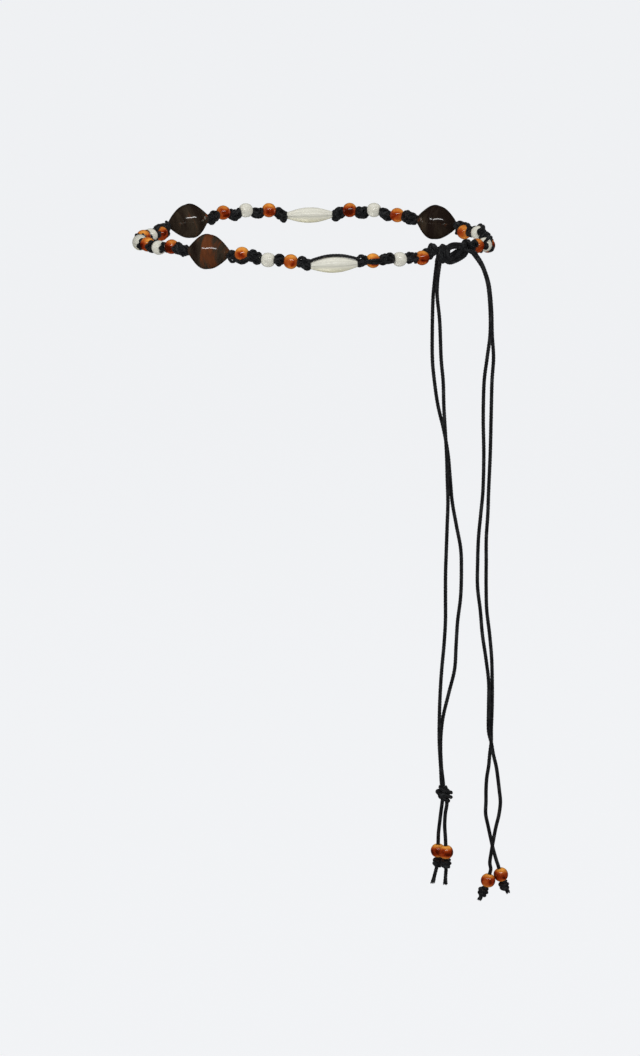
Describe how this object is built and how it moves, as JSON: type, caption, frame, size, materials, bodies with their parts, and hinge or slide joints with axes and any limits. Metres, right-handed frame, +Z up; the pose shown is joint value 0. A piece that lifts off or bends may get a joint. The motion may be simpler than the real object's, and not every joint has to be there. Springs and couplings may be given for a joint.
{
  "type": "crochet bead belt",
  "caption": "Crocheted black cord belt with amber, milky, cream spindle and dark oval beads, tied in a half knot, with hanging pairs of beaded cord ends.",
  "frame": {"origin": "centre of the waist opening, level with the middle of the belt's loop", "axes": "+Z up along the wearer's waist; -Y to the wearer's front; +X across the front, towards the side with the tie"},
  "size_m": [0.2633, 0.2243, 0.4751],
  "materials": {
    "black_cord": "waxed cord, faint sheen",
    "amber_bead": "translucent, glossy",
    "milky_bead": "cloudy translucent, glossy",
    "cream_spindle": "translucent, satin gloss",
    "dark_oval": "polished, marbled"
  },
  "bodies": {
    "root": {"amber_bead_01": "amber_bead", "amber_bead_02": "amber_bead", "amber_bead_03": "amber_bead", "amber_bead_04": "amber_bead", "amber_bead_05": "amber_bead", "amber_bead_06": "amber_bead", "amber_bead_07": "amber_bead", "amber_bead_08": "amber_bead", "amber_bead_09": "amber_bead", "amber_bead_10": "amber_bead", "amber_bead_11": "amber_bead", "amber_bead_12": "amber_bead", "amber_bead_13": "amber_bead", "amber_bead_14": "amber_bead", "amber_bead_15": "amber_bead", "clear_bead_01": "milky_bead", "clear_bead_02": "milky_bead", "clear_bead_03": "milky_bead", "clear_bead_04": "milky_bead", "clear_bead_05": "milky_bead", "clear_bead_06": "milky_bead", "clear_bead_07": "milky_bead", "clear_bead_08": "milky_bead", "spindle_bead_01": "cream_spindle", "spindle_bead_02": "cream_spindle", "spindle_bead_03": "cream_spindle", "oval_bead_01": "dark_oval", "oval_bead_02": "dark_oval", "oval_bead_03": "dark_oval", "crochet_run_1": "black_cord", "crochet_run_2": "black_cord", "crochet_run_3": "black_cord", "crochet_run_4": "black_cord", "crochet_run_5": "black_cord", "crochet_run_6": "black_cord", "crochet_run_7": "black_cord", "tie_knot": "black_cord", "pair_knot": "black_cord", "tail_cord_left_upper_a": "black_cord", "tail_cord_left_upper_b": "black_cord", "tail_cord_left_lower_a": "black_cord", "tail_cord_left_lower_b": "black_cord", "tail_cord_right_a": "black_cord", "tail_cord_right_b": "black_cord", "tail_bead_left_a": "amber_bead", "tail_bead_left_b": "amber_bead", "tail_bead_right_a": "amber_bead", "tail_bead_right_b": "amber_bead", "stopper_knot_left_a": "black_cord", "stopper_knot_left_b": "black_cord", "stopper_knot_right_a": "black_cord", "stopper_knot_right_b": "black_cord"}
  },
  "joints": []
}
